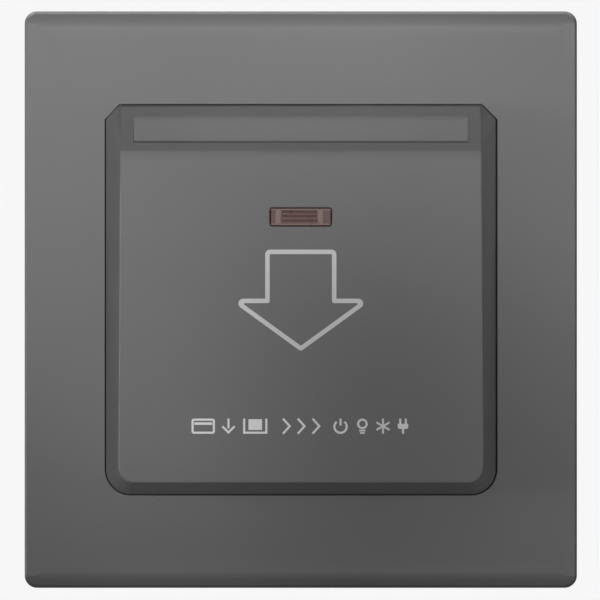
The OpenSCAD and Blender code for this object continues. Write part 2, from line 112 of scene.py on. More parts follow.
def ramp(t, fac, stops, mode="LINEAR"):
    r = t.nodes.new("ShaderNodeValToRGB")
    r.color_ramp.interpolation = mode
    while len(r.color_ramp.elements) > 1:
        r.color_ramp.elements.remove(r.color_ramp.elements[0])
    first = True
    for pos, col in stops:
        e = r.color_ramp.elements[0] if first else r.color_ramp.elements.new(pos)
        e.position = pos
        e.color = (*col, 1.0) if len(col) == 3 else col
        first = False
    t.links.new(fac, r.inputs["Fac"])
    return r.outputs["Color"]


def spread(t, fac, lo, hi, a=0.3, b=0.7):
    m = t.nodes.new("ShaderNodeMapRange")
    m.inputs["From Min"].default_value = a
    m.inputs["From Max"].default_value = b
    m.inputs["To Min"].default_value = lo
    m.inputs["To Max"].default_value = hi
    t.links.new(fac, m.inputs["Value"])
    return m.outputs["Result"]


def bump(t, height, strength, distance, normal=None):
    b = t.nodes.new("ShaderNodeBump")
    b.inputs["Strength"].default_value = strength
    b.inputs["Distance"].default_value = distance
    t.links.new(height, b.inputs["Height"])
    if normal is not None:
        t.links.new(normal, b.inputs["Normal"])
    return b.outputs["Normal"]


def tone(col, k):
    return tuple(min(1.0, c * k) for c in col)


def plastic(name, col, rough=(0.4, 0.5), grain=5200, depth=6e-6, vary=0.06, cloud=60, specular=0.5, fleck=0.03, gap_shade_y=None):
    """Moulded plastic: fine spark-eroded grain, faint flow clouds, and tiny flecks in the colour. Behind the depth y
    given as the last argument, the colour is painted near black. This is painted shade for the deep gaps round the
    part, and the flange and inside behind it turn black as well.
    """
    m, t, s = tree(name)
    v = coords(t)
    clouds = noise(t, v, cloud, 4.0, 0.6)
    fine = noise(t, v, grain, 3.0, 0.65)
    base = ramp(t, clouds, [(0.3, tone(col, 1 - vary)), (0.7, tone(col, 1 + vary))])
    mix = t.nodes.new("ShaderNodeMix")
    mix.data_type = "RGBA"
    mix.blend_type = "MULTIPLY"
    mix.inputs["Factor"].default_value = 1.0
    t.links.new(base, mix.inputs[6])
    t.links.new(ramp(t, fine, [(0.3, (1 - fleck,) * 3), (0.7, (1 + fleck,) * 3)]), mix.inputs[7])
    out = mix.outputs[2]
    # Behind that depth the colour turns near black: painted shade that darkens the narrow gaps round the part.
    if gap_shade_y is not None:
        c = t.nodes.new("ShaderNodeTexCoord")
        sep = t.nodes.new("ShaderNodeSeparateXYZ")
        t.links.new(c.outputs["Object"], sep.inputs["Vector"])
        under = t.nodes.new("ShaderNodeMix")
        under.data_type = "RGBA"
        t.links.new(spread(t, sep.outputs[1], 0.0, 1.0, (gap_shade_y - 0.2) * MM, (gap_shade_y + 0.2) * MM), under.inputs["Factor"])
        t.links.new(out, under.inputs[6])
        t.links.new(ramp(t, fine, [(0.3, (0.014, 0.014, 0.015)), (0.7, (0.02, 0.02, 0.021))]), under.inputs[7])
        out = under.outputs[2]
    t.links.new(out, s.inputs["Base Color"])
    t.links.new(spread(t, fine, rough[0], rough[1]), s.inputs["Roughness"])
    s.inputs["Specular IOR Level"].default_value = specular
    t.links.new(bump(t, fine, 0.35, depth), s.inputs["Normal"])
    return m


def metal(name, col, rough=(0.25, 0.4), stretch=(1, 1, 1), scale=3000, depth=3e-6, vary=0.12, stain=None):
    """Metal with fine drawn or rolled lines and a little tarnish."""
    m, t, s = tree(name)
    lines = noise(t, coords(t, stretch), scale, 3.0, 0.6)
    clouds = noise(t, coords(t), 260, 4.0, 0.6)
    stops = [(0.3, tone(col, 1 - vary)), (0.55, col), (0.75, stain or tone(col, 1 + vary))]
    t.links.new(ramp(t, clouds, stops), s.inputs["Base Color"])
    s.inputs["Metallic"].default_value = 1.0
    t.links.new(spread(t, lines, rough[0], rough[1]), s.inputs["Roughness"])
    t.links.new(bump(t, lines, 0.4, depth), s.inputs["Normal"])
    return m


MAT = {}
MAT["charcoal_plastic"] = plastic("charcoal_satin", (0.152, 0.152, 0.152), (0.42, 0.5), vary=0.015, fleck=0.02)
# The cover's plastic is painted near black behind y = -7 mm: painted shade in the gaps between the cover and the
# faceplate.
COVER_SATIN_GAP_SHADE = plastic("charcoal_satin_cover_gap_shade", (0.152, 0.152, 0.152), (0.42, 0.5), vary=0.015, fleck=0.02, gap_shade_y=-7.0)
MAT["guide_plastic"] = plastic("guide_black", (0.055, 0.055, 0.058), (0.4, 0.55), grain=4200, vary=0.08)
MAT["frame_plastic"] = plastic("frame_grey", (0.6, 0.6, 0.58), (0.38, 0.5), grain=3600, depth=8e-6, vary=0.04)
MAT["housing_plastic"] = plastic("housing_ivory", (0.72, 0.71, 0.66), (0.35, 0.5), grain=3200, depth=8e-6, vary=0.04)
MAT["lever_plastic"] = plastic("lever_acetal", (0.78, 0.74, 0.62), (0.28, 0.4), grain=2600, depth=4e-6, vary=0.05)
MAT["switch_plastic"] = plastic("switch_black", (0.022, 0.022, 0.025), (0.32, 0.5), grain=4200, vary=0.12)
MAT["plunger_plastic"] = plastic("plunger_red", (0.42, 0.03, 0.022), (0.25, 0.4), grain=2600, depth=4e-6)
MAT["plated_steel"] = metal("zinc_plated", (0.6, 0.61, 0.63), (0.24, 0.42), scale=2600, stain=(0.64, 0.6, 0.5))
MAT["spring_steel"] = metal("spring_wire", (0.46, 0.46, 0.48), (0.22, 0.36), stretch=(6, 1, 1), scale=1500)
MAT["blade_bronze"] = metal("bronze_strip", (0.6, 0.35, 0.16), (0.24, 0.38), stretch=(0.12, 1, 1), scale=5200)
MAT["contact_silver"] = metal("silver_alloy", (0.78, 0.77, 0.74), (0.2, 0.34), scale=4200, stain=(0.6, 0.56, 0.5))
MAT["terminal_brass"] = metal("brass", (0.66, 0.47, 0.17), (0.22, 0.38), stretch=(1, 1, 0.15), scale=4800, stain=(0.52, 0.34, 0.13))
MAT["lamp_nickel"] = metal("nickel_wire", (0.55, 0.53, 0.49), (0.2, 0.34), stretch=(0.1, 1, 1), scale=4200)
MAT["lead_red"] = plastic("lead_red_sheath", (0.32, 0.02, 0.015), (0.3, 0.42), grain=2400, depth=4e-6)
MAT["lead_blue"] = plastic("lead_blue_sheath", (0.02, 0.07, 0.32), (0.3, 0.42), grain=2400, depth=4e-6)
MAT["print_grey"] = plastic("print_grey", (0.54, 0.54, 0.54), (0.5, 0.6), grain=6500, depth=3e-6, vary=0.02)
MAT["print_white"] = plastic("print_white", (0.7, 0.7, 0.7), (0.5, 0.6), grain=6500, depth=3e-6, vary=0.02)


def laminate():
    m, t, s = tree("board_paper_laminate")
    weave = noise(t, coords(t, (1, 1, 0.08)), 5200, 3.0, 0.6)
    clouds = noise(t, coords(t), 380, 4.0, 0.6)
    base = ramp(t, clouds, [(0.3, (0.27, 0.16, 0.06)), (0.7, (0.38, 0.25, 0.1))])
    mix = t.nodes.new("ShaderNodeMix")
    mix.data_type = "RGBA"
    mix.blend_type = "MULTIPLY"
    mix.inputs["Factor"].default_value = 1.0
    t.links.new(base, mix.inputs[6])
    t.links.new(ramp(t, weave, [(0.3, (0.82, 0.82, 0.8)), (0.7, (1, 1, 1))]), mix.inputs[7])
    t.links.new(mix.outputs[2], s.inputs["Base Color"])
    t.links.new(spread(t, weave, 0.35, 0.55), s.inputs["Roughness"])
    t.links.new(bump(t, weave, 0.3, 6e-6), s.inputs["Normal"])
    return m


def lacquer():
    """Resistor body with four colour bands across its length."""
    m, t, s = tree("resistor_banded")
    lo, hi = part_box("dropping_resistor")
    c = t.nodes.new("ShaderNodeTexCoord")
    sep = t.nodes.new("ShaderNodeSeparateXYZ")
    t.links.new(c.outputs["Object"], sep.inputs["Vector"])
    axis = max(range(3), key=lambda i: hi[i] - lo[i])
    along = spread(t, sep.outputs[axis], 0.0, 1.0, lo[axis], hi[axis])
    tan = (0.58, 0.4, 0.22)
    stops = [(0.0, tan), (0.36, (0.3, 0.09, 0.02)), (0.4, tan), (0.45, (0.02, 0.02, 0.02)), (0.49, tan),
             (0.54, (0.5, 0.36, 0.02)), (0.58, tan), (0.64, (0.45, 0.33, 0.12)), (0.68, tan)]
    band = ramp(t, along, stops, "CONSTANT")
    fine = noise(t, coords(t), 2600, 3.0, 0.6)
    mix = t.nodes.new("ShaderNodeMix")
    mix.data_type = "RGBA"
    mix.blend_type = "MULTIPLY"
    mix.inputs["Factor"].default_value = 1.0
    t.links.new(band, mix.inputs[6])
    t.links.new(ramp(t, fine, [(0.3, (0.9, 0.9, 0.9)), (0.7, (1, 1, 1))]), mix.inputs[7])
    t.links.new(mix.outputs[2], s.inputs["Base Color"])
    t.links.new(spread(t, fine, 0.18, 0.3), s.inputs["Roughness"])
    t.links.new(bump(t, fine, 0.25, 5e-6), s.inputs["Normal"])
    return m


def glass():
    m, t, s = tree("lamp_glass_tube")
    fine = noise(t, coords(t), 420, 3.0, 0.6)
    t.links.new(ramp(t, fine, [(0.3, (0.93, 0.86, 0.8)), (0.7, (0.97, 0.93, 0.89))]), s.inputs["Base Color"])
    t.links.new(spread(t, fine, 0.02, 0.07), s.inputs["Roughness"])
    s.inputs["Transmission Weight"].default_value = 1.0
    s.inputs["IOR"].default_value = 1.48
    return m


def smoked():
    """Smoked red window: painted darker at its rim, greyer at the two bars, with painted light and dark stripes along
    the ridges and painted highlight bands along its top and bottom edges.
    """
    m, t, s = tree("smoked_red_window")
    c = t.nodes.new("ShaderNodeTexCoord")
    sep = t.nodes.new("ShaderNodeSeparateXYZ")
    t.links.new(c.outputs["Object"], sep.inputs["Vector"])

    def math_node(op, a, b=None):
        n = t.nodes.new("ShaderNodeMath")
        n.operation = op
        t.links.new(a, n.inputs[0])
        if b is not None:
            n.inputs[1].default_value = b
        return n.outputs[0]

    def mixed(mode, fac, a, b):
        n = t.nodes.new("ShaderNodeMix")
        n.data_type = "RGBA"
        n.blend_type = mode
        n.inputs["Factor"].default_value = 1.0
        if fac is not None:
            t.links.new(fac, n.inputs["Factor"])
        t.links.new(a, n.inputs[6])
        t.links.new(b, n.inputs[7])
        return n.outputs[2]

    across = math_node("ABSOLUTE", sep.outputs[0])
    inside = math_node("ABSOLUTE", math_node("SUBTRACT", sep.outputs[0], RIDGE_X * MM))
    up = math_node("SUBTRACT", sep.outputs[2], LENS_Z * MM)
    # Light and dark stripes in phase with the ridges: painted highlight on the crests and painted shade in the valleys.
    stripe = math_node("SINE", math_node("ADD", math_node("MULTIPLY", math_node("SUBTRACT", up, RIDGE_Z * MM), 2 * math.pi / (RIDGE_PITCH * MM)), math.pi / 2))
    ridges = ramp(t, spread(t, stripe, 0.0, 1.0, -1.0, 1.0), [(0.1, (0.092, 0.05, 0.047)), (0.9, (0.153, 0.102, 0.094))])
    wine, grey = (0.124, 0.071, 0.068), (0.184, 0.134, 0.124)
    sides = ramp(t, spread(t, inside, 0.0, 1.0, 0.0, 5.0 * MM), [(0.0, wine), (0.575, wine), (0.61, grey), (0.765, grey), (0.8, wine)])
    inner = ramp(t, spread(t, inside, 0.0, 1.0, 2.84 * MM, 2.96 * MM), [(0.0, (1, 1, 1)), (1.0, (0, 0, 0))])
    body = mixed("MIX", inner, sides, ridges)
    edge = t.nodes.new("ShaderNodeMath")
    edge.operation = "MINIMUM"
    t.links.new(math_node("MULTIPLY", math_node("SUBTRACT", across, LENS_HW * MM), -1.0), edge.inputs[0])
    t.links.new(math_node("MULTIPLY", math_node("SUBTRACT", math_node("ABSOLUTE", up), LENS_HH * MM), -1.0), edge.inputs[1])
    # Paler bands along the top and bottom of the window: painted highlight for its bevels.
    level = ramp(t, spread(t, math_node("ABSOLUTE", up), 0.0, 1.0, 1.06 * MM, 1.16 * MM), [(0.0, (0, 0, 0)), (1.0, (1, 1, 1))])
    pale = ramp(t, up, [(0.0, (0.222, 0.166, 0.154)), (1.0, (0.222, 0.166, 0.154))])
    body = mixed("MIX", level, body, pale)
    # Darker within a quarter millimetre of the rim: painted shade from the window's edge and the gap round the lens.
    rim_shade = ramp(t, spread(t, edge.outputs[0], 0.0, 1.0, 0.17 * MM, 0.25 * MM), [(0.0, (0.64, 0.6, 0.58)), (1.0, (1, 1, 1))])
    body = mixed("MULTIPLY", None, body, rim_shade)
    clouds = noise(t, coords(t), 900, 3.0, 0.6)
    body = mixed("MULTIPLY", None, body, ramp(t, clouds, [(0.3, (0.94, 0.94, 0.94)), (0.7, (1.0, 1.0, 1.0))]))
    t.links.new(body, s.inputs["Base Color"])
    t.links.new(spread(t, clouds, 0.26, 0.34), s.inputs["Roughness"])
    s.inputs["Transmission Weight"].default_value = 0.04
    s.inputs["IOR"].default_value = 1.49
    s.inputs["Specular IOR Level"].default_value = 0.35
    return m


MAT["board_laminate"] = laminate()
MAT["resistor_lacquer"] = lacquer()
MAT["lamp_glass"] = glass()
MAT["smoked_lens"] = smoked()


# ------------------------------------------------------------------ meshes

def place(name, bm, material, body="base", node=None):
    """Makes a piece of a bmesh, lets it ride on its body and stand for its node."""
    bmesh.ops.recalc_face_normals(bm, faces=bm.faces)
    me = bpy.data.meshes.new(name)
    bm.to_mesh(me)
    bm.free()
    me.materials.append(material)
    o = bpy.data.objects.new(name, me)
    SCENE.collection.objects.link(o)
    if body is not None:
        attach(o, body)
    if node is not None:
        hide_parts(node)
    return o


def cleaned(node, cuts=()):
    """The node's faces joined into whole flat faces, split only along the cutting planes, so that none goes round a hole."""
    bm = bmesh.new()
    bm.from_mesh(NODES[node].data)
    bmesh.ops.remove_doubles(bm, verts=bm.verts, dist=2e-6)
    for axis, at in cuts:
        no = Vector((0, 0, 0))
        no["xyz".index(axis)] = 1.0
        cut = bmesh.ops.bisect_plane(bm, geom=bm.verts[:] + bm.edges[:] + bm.faces[:], dist=1e-6, plane_co=no * at * MM, plane_no=no)
        for e in cut["geom_cut"]:
            if isinstance(e, bmesh.types.BMEdge):
                e.seam = True
    bmesh.ops.dissolve_limit(bm, angle_limit=math.radians(0.4), verts=bm.verts, edges=bm.edges, delimit={"NORMAL", "SEAM"})
    for f in bm.faces:
        f.smooth = True
        f.material_index = 0
    return bm


def soften(o, width, segments=3, sharp=32):
    b = o.modifiers.new("edge_radius", "BEVEL")
    b.limit_method = "WEIGHT"
    b.width = width
    b.segments = segments
    b.use_clamp_overlap = False
    b.loop_slide = True
    b.harden_normals = False
    b.miter_outer = "MITER_SHARP"
    o.data.set_sharp_from_angle(angle=math.radians(sharp))
    w = o.modifiers.new("flat_faces", "WEIGHTED_NORMAL")
    w.keep_sharp = True
    w.weight = 60
    return o


def refined(node, rule, name=None, top=0.8, segments=3, cuts=(), shape=None, settle=None, material=None, sharp=32):
    """A copy of the node with every edge rounded by the radius that rule gives for it, in millimetres."""
    bm = cleaned(node, cuts)
    if shape is not None:
        shape(bm)
    layer = bm.edges.layers.float.new("bevel_weight_edge")
    for e in bm.edges:
        if len(e.link_faces) != 2:
            continue
        a = e.calc_face_angle_signed(0.0)
        if abs(a) < math.radians(24):
            continue
        mid = (e.verts[0].co + e.verts[1].co) / 2 / MM
        f, g = e.link_faces
        r = rule(mid, f.normal, g.normal, a, e.calc_length() / MM)
        e[layer] = min(1.0, r / top)
    if settle is not None:
        settle(bm)
    o = place(name or node + "_shell", bm, material or MAT[SLOT_OF[node]], BODY_OF[node], node)
    return soften(o, top * MM, segments, sharp)


def cover_rule(mid, n1, n2, angle, length):
    x, y, z = mid
    ax = abs(x)
    front = lambda n: n.y < -0.99
    slope = lambda n: abs(n.x) < 0.05 and n.z > 0.5 and n.y < -0.3
    if ax > CHEEK_X - 0.05 and z > FACE_TOP_Z - 0.1 and y < -8.6:
        return 0.0
    if y < -16.4 and (front(n1) or front(n2)):
        if ax < 6 and abs(z - LENS_Z) < 2:
            return 0.08
        if slope(n1) or slope(n2):
            return 1.0
        return 0.26
    if slope(n1) or slope(n2):
        if ax < SLOT_HW - 0.1 and z > 28:
            return 0.75
        if ax < SLOT_HW + 0.1:
            return 0.05
        return 0.3
    if y < -8.6 and ax > 28.5:
        return 0.25
    if FLOOR_Y - 0.1 < y < FLOOR_Y + 0.1 and z > 25:
        return 0.05
    return 0.12 if length > 0.6 and angle > 0 else 0.0


def small(r, shortest=0.5):
    return lambda mid, n1, n2, angle, length: r if angle > 0 and length > shortest else 0.0


def sharp_cheeks(bm):
    """Draws the crests beside the ramp out to an edge."""
    high = [v for v in bm.verts if abs(v.co.x) > (CHEEK_X - 0.02) * MM and v.co.z > (FACE_TOP_Z - 0.05) * MM and v.co.y < (PLATE_FRONT + 0.05) * MM]
    for v in high:
        if abs(v.co.x) < (CHEEK_X + 0.02) * MM:
            beside = [w for w in high if w.co.x * v.co.x > 0 and abs(w.co.x) > abs(v.co.x) + 0.1 * MM and (w.co.yz - v.co.yz).length < 0.06 * MM]
            if beside:
                v.co = min(beside, key=lambda w: abs(w.co.x)).co
    bmesh.ops.remove_doubles(bm, verts=bm.verts, dist=2e-6)
    # their inner sides stand upright
    for v in bm.verts:
        x, y, z = v.co / MM
        if abs(abs(x) - CHEEK_X) < 0.02 and abs(y - PLATE_FRONT) < 0.02 and abs(z - RAMP_TOP_Z) < 0.02:
            v.co.x = math.copysign(CHEEK_X + 0.18, x) * MM


def lower_ramp(bm):
    """Lets the ramp run a little further down the face, from the same top edge."""
    for v in bm.verts:
        x, y, z = v.co / MM
        if FACE_TOP_Z - 0.05 < z < RAMP_TOP_Z and abs(y - FACE_TOP_Y - (z - FACE_TOP_Z) * RAMP_RISE) < 0.06:
            v.co.z -= RAMP_LOWER * (RAMP_TOP_Z - z) / (RAMP_TOP_Z - FACE_TOP_Z) * MM


COVER = refined("front_cover", cover_rule, "front_cover_shell", top=1.0, segments=4, shape=sharp_cheeks, settle=lower_ramp, material=COVER_SATIN_GAP_SHADE, sharp=12,
        cuts=(("x", 0), ("x", -7), ("x", 7), ("z", LENS_Z), ("z", LENS_Z - 4), ("z", LENS_Z + 4)))
# both sides of the cover from the left one, so that their rounded corners are alike
EVEN = COVER.modifiers.new("even_sides", "MIRROR")
EVEN.use_axis = (True, False, False)
EVEN.use_bisect_axis = (True, False, False)
EVEN.use_bisect_flip_axis = (True, False, False)
EVEN.merge_threshold = 2e-6
COVER.modifiers.move(len(COVER.modifiers) - 1, 1)


# ---------------------------------------------------------------- faceplate

def fillet(pts, radii, k=9):
    """Closed outline with rounded corners, k points on each."""
    out = []
    n = len(pts)
    for i in range(n):
        p, a, b = Vector(pts[i]), Vector(pts[i - 1]), Vector(pts[(i + 1) % n])
        u, v = (a - p).normalized(), (b - p).normalized()
        half = u.angle(v) / 2
        r = radii[i]
        c = p + (u + v).normalized() * (r / math.sin(half))
        s, e = p + u * (r / math.tan(half)), p + v * (r / math.tan(half))
        a0 = math.atan2(s.y - c.y, s.x - c.x)
        da = (math.atan2(e.y - c.y, e.x - c.x) - a0 + math.pi) % (2 * math.pi) - math.pi
        out += [c + Vector((math.cos(a0 + da * j / (k - 1)), math.sin(a0 + da * j / (k - 1)))) * r for j in range(k)]
    return out

CORNER, SIDE = 14, 18


def rounded(hx, hz, r):
    """Rounded rectangle, anticlockwise from the right, CORNER points on each corner."""
    out = []
    for cx, cz, a0 in ((hx - r, hz - r, 0), (r - hx, hz - r, 90), (r - hx, r - hz, 180), (hx - r, r - hz, 270)):
        out.append([(cx + r * math.cos(math.radians(a0 + 90 * k / (CORNER - 1))), cz + r * math.sin(math.radians(a0 + 90 * k / (CORNER - 1)))) for k in range(CORNER)])
    return joined(out)


def opening(grow):
    """Outline of the opening for the cover, grown outwards: cut corners at the top, round ones below. The cover sits a little low and left in it."""
    h, c, r = 31.95 + grow, 2.5 + 0.586 * grow, 4.3 + grow
    k = CORNER // 2
    tips = fillet([(h, h - c), (h - c, h), (c - h, h), (-h, h - c), (-h, -h), (h, -h)], [0.3] * 6, k)
    out = [[tuple(p) for p in tips[:2 * k]], [tuple(p) for p in tips[2 * k:4 * k]]]
    for cx, cz, a0 in ((r - h, r - h, 180), (h - r, r - h, 270)):
        out.append([(cx + r * math.cos(math.radians(a0 + 90 * j / (CORNER - 1))), cz + r * math.sin(math.radians(a0 + 90 * j / (CORNER - 1)))) for j in range(CORNER)])
    return [Vector((p.x + (0.06 if p.x > 0 else 0.03), p.y + (-0.125 if p.y > 0 else 0.06))) for p in joined(out)]


def joined(corners):
    """Corner points with SIDE - 1 points on each straight side between them."""
    out = []
    for i, c in enumerate(corners):
        a, b = Vector(c[-1]), Vector(corners[(i + 1) % 4][0])
        out += [Vector(p) for p in c] + [a.lerp(b, k / SIDE) for k in range(1, SIDE)]
    return out


def front_y(z):
    """Front of the faceplate: flat, and rolled back along its top and bottom edges, gently at first."""
    e = max(ROLL_END, 47 - abs(z))
    soft, hard = ROLL_START - ROLL_BEND, ROLL_BEND - ROLL_END
    y = PLATE_FRONT
    if e < ROLL_START:
        y += 0.2 * soft / 2.5 * min(1.0, (ROLL_START - e) / soft) ** 2.5
    if e < ROLL_BEND:
        t = (ROLL_BEND - e) / hard
        y += hard * (0.2 * t + 0.84 / 1.8 * t ** 1.8)
    return y


def faceplate():
    bm = bmesh.new()
    loops = []
    for d, y in ((0.2, 0.0), (0.06, -0.06), (0.0, -0.2)):
        loops.append([(p.x, y, p.y) for p in rounded(45 - d, 47 - d, 2 - d)])
    for d, drop in ((0.0, 0.84), (0.008, 0.8), (0.03, 0.745), (0.38, 0.04), (0.405, 0.012), (0.44, 0.0)):
        loops.append([(p.x, front_y(p.y) + drop, p.y) for p in rounded(45 - 0.9 * d, 47 - 1.15 * d, 2 - d)])
    for d in (0.55, 0.8, 1.05, 1.3, 1.55, 1.8, 2.05, 2.3, 2.5, 2.7, 2.9, 3.15, 3.4, 3.7, 4.0, 4.4, 4.8):
        loops.append([(p.x, front_y(p.y), p.y) for p in rounded(45 - d, 47 - d, max(0.06, 2 - d))])
    for k in range(5):
        a = math.pi / 2 * k / 4
        loops.append([(p.x, PLATE_FRONT + 0.14 - 0.14 * math.cos(a), p.y) for p in opening(0.14 - 0.14 * math.sin(a))])
    for g, y in ((0.0, -5.35), (0.05, -5.23), (0.15, -5.2), (1.45, -5.2), (1.55, -5.23), (1.6, -5.35), (1.6, -6.3), (1.65, -6.44), (1.8, -6.5)):
        loops.append([(p.x, y, p.y) for p in opening(g)])
    for d, y in ((2.2, -6.5), (2.06, -6.44), (2.0, -6.3), (2.0, -0.2), (1.94, -0.06), (1.8, 0.0)):
        loops.append([(p.x, y, p.y) for p in rounded(45 - d, 47 - d, max(0.1, 2.4 - d) if y < -1 else 0.4)])
    rings = [[bm.verts.new(Vector(p) * MM) for p in lp] for lp in loops]
    n = len(rings[0])
    for i, a in enumerate(rings):
        b = rings[(i + 1) % len(rings)]
        for k in range(n):
            m = (k + 1) % n
            bm.faces.new((a[k], a[m], b[m], b[k]))
    # clips that snap behind the mounting frame, and stiffening ribs
    for s in (-1, 1):
        for z in (-22, 22):
            prism(bm, [(36 * s, -6.7), (37.6 * s, -6.7), (37.6 * s, -2.2), (38.3 * s, -2.2), (37.6 * s, -0.8), (36 * s, -0.8)], z - 3, z + 3)
        for x in (-14, 14):
            z0, z1 = (32.95, 45.2) if s > 0 else (-45.2, -32.95)
            prism(bm, [(x - 0.6, -6.7), (x + 0.6, -6.7), (x + 0.6, -4.9), (x - 0.6, -4.9)], z0, z1)
    for f in bm.faces:
        f.smooth = True
    bm.normal_update()
    o = place("faceplate_shell", bm, MAT["charcoal_plastic"], "base", "faceplate")
    o.data.set_sharp_from_angle(angle=math.radians(14))
    w = o.modifiers.new("flat_faces", "WEIGHTED_NORMAL")
    w.keep_sharp = True
    w.weight = 60
    return o


def prism(bm, section, z0, z1, r=0.12):
    """Upright bar of an X-Y section, with its edges broken."""
    new = bmesh.new()
    low = [new.verts.new(Vector((x, y, z0)) * MM) for x, y in section]
    top = [new.verts.new(Vector((x, y, z1)) * MM) for x, y in section]
    new.faces.new(low)
    new.faces.new(top[::-1])
    n = len(section)
    for i in range(n):
        j = (i + 1) % n
        new.faces.new((low[i], top[i], top[j], low[j]))
    bmesh.ops.recalc_face_normals(new, faces=new.faces)
    bmesh.ops.bevel(new, geom=new.edges[:], offset=r * MM, offset_type="OFFSET", segments=2, profile=0.5, affect="EDGES", clamp_overlap=True)
    me = bpy.data.meshes.new("tmp")
    new.to_mesh(me)
    new.free()
    bm.from_mesh(me)
    bpy.data.meshes.remove(me)


PLATE = faceplate()


# ----------------------------------------------------------- indicator lens

def lens():
    """Window with a chamfered rim, two upright bars and level ridges between them, and a flange behind."""
    bm = bmesh.new()
    w, h, r = LENS_HW, LENS_HH, 0.42
    y_front, y_back = -17.93, -16.78
    nx, nz = 170, 60

    def step(a, b, v):
        v = min(1.0, max(0.0, (v - a) / (b - a)))
        return v * v * (3 - 2 * v)

    def height(x, z, edge):
        ax = abs(x - RIDGE_X)
        y = y_front + 0.55 * (1 - min(1.0, max(0.0, edge / 0.22))) ** 1.15
        y -= 0.06 * step(2.97, 3.05, ax) * step(3.98, 3.9, ax) * step(1.2, 1.12, abs(z))
        ridge = 0.5 + 0.5 * math.cos(2 * math.pi * (z - RIDGE_Z) / RIDGE_PITCH)
        return y - 0.08 * ridge * step(2.96, 2.84, ax) * step(1.14, 1.04, abs(z))

    grid = []
    for j in range(nz + 1):
        z = -h + 2 * h * j / nz
        d = abs(z) - (h - r)
        half = w - (r - math.sqrt(max(0.0, r * r - d * d)) if d > 0 else 0.0)
        row = []
        for i in range(nx + 1):
            x = -half + 2 * half * i / nx
            edge = min(half - abs(x), h - abs(z))
            row.append(bm.verts.new(Vector((x, height(x, z, edge), z + LENS_Z)) * MM))
        grid.append(row)
    for j in range(nz):
        for i in range(nx):
            bm.faces.new((grid[j][i], grid[j][i + 1], grid[j + 1][i + 1], grid[j + 1][i]))
    rim = [grid[0][i] for i in range(nx)] + [grid[j][nx] for j in range(nz)]
    rim += [grid[nz][i] for i in range(nx, 0, -1)] + [grid[j][0] for j in range(nz, 0, -1)]

    def ring(loop, y, dx=0.0, dz=0.0):
        out = []
        for v in loop:
            x, z = v.co.x / MM, v.co.z / MM - LENS_Z
            out.append(bm.verts.new(Vector((x + math.copysign(dx, x), y, z + math.copysign(dz, z) + LENS_Z)) * MM))
        for k in range(len(loop)):
            n = (k + 1) % len(loop)
            bm.faces.new((loop[k], loop[n], out[n], out[k]))
        return out

    a = ring(rim, y_back)
    b = ring(a, y_back - 0.001, 1.02, 1.04)
    c = ring(b, -16.1)
    bm.faces.new(c)
    for f in bm.faces:
        f.smooth = True
    o = place("indicator_window", bm, MAT["smoked_lens"], "base", "indicator_lens")
    o.data.set_sharp_from_angle(angle=math.radians(40))
    return o


lens()


# ------------------------------------------------------------------- prints

def offset(pts, d):
    """Outline moved outwards by d, with sharp corners; the points run anticlockwise."""
    out = []
    n = len(pts)
    for i in range(n):
        p, a, b = Vector(pts[i]), Vector(pts[i - 1]), Vector(pts[(i + 1) % n])
        e, f = (p - a).normalized(), (b - p).normalized()
        m, q = Vector((e.y, -e.x)), Vector((f.y, -f.x))
        out.append(p + (m + q) / (1 + m.dot(q)) * d)
    return out


def stroke(pts, w):
    """Outline of an open line of width w with square ends."""
    p = [Vector(q) for q in pts]
    left, right = [], []
    for i in range(len(p)):
        e = (p[i] - p[i - 1]).normalized() if i else (p[1] - p[0]).normalized()
        f = (p[i + 1] - p[i]).normalized() if i < len(p) - 1 else e
        m, q = Vector((e.y, -e.x)), Vector((f.y, -f.x))
        d = (m + q) / (1 + m.dot(q)) * w / 2
        left.append(p[i] - d)
        right.append(p[i] + d)
    return left + right[::-1]


INK = 0.035


def on_face(bm, p, up):
    y = face_y(p.y) + (-INK if up else 0.02)
    return bm.verts.new(Vector((p.x, y, p.y)) * MM)


def band(bm, outer, inner, at=(0, 0)):
    at = Vector(at)
    n = len(outer)
    loops = [[on_face(bm, p + at, up) for p in lp] for up, lp in ((True, outer), (True, inner), (False, inner), (False, outer))]
    for k in range(4):
        a, b = loops[k], loops[(k + 1) % 4]
        for i in range(n):
            j = (i + 1) % n
            bm.faces.new((a[i], a[j], b[j], b[i]))


def patch(bm, loop, at=(0, 0)):
    at = Vector(at)
    top = [on_face(bm, Vector(p) + at, True) for p in loop]
    low = [on_face(bm, Vector(p) + at, False) for p in loop]
    faces = [bm.faces.new(top), bm.faces.new(low[::-1])]
    for f in faces:
        f.normal_update()
    n = len(loop)
    for i in range(n):
        j = (i + 1) % n
        bm.faces.new((top[i], low[i], low[j], top[j]))
    bmesh.ops.triangulate(bm, faces=faces)


def circle(r, n=40, at=(0, 0)):
    return [Vector((at[0] + r * math.cos(2 * math.pi * i / n), at[1] + r * math.sin(2 * math.pi * i / n))) for i in range(n)]


def arc(r, a0, a1, n=40):
    return [(r * math.cos(math.radians(a0 + (a1 - a0) * i / n)), r * math.sin(math.radians(a0 + (a1 - a0) * i / n))) for i in range(n + 1)]


def arrow():
    """Outlined arrow that shows which way the card goes in."""
    line = [(-5.42, 7.75), (-5.42, -0.21), (-10.66, -0.21), (0, -7.945), (10.66, -0.21), (5.42, -0.21), (5.42, 7.75)]
    out = offset(line, 0.36)
    inn = offset(line, -0.36)
    bm = bmesh.new()
    band(bm, fillet(out, [0.78, 0.03, 0.79, 0.45, 0.79, 0.03, 0.78]), fillet(inn, [0.14, 0.36, 0.16, 0.05, 0.16, 0.36, 0.14]))
    return place("print_arrow", bm, MAT["print_grey"], "base", None)


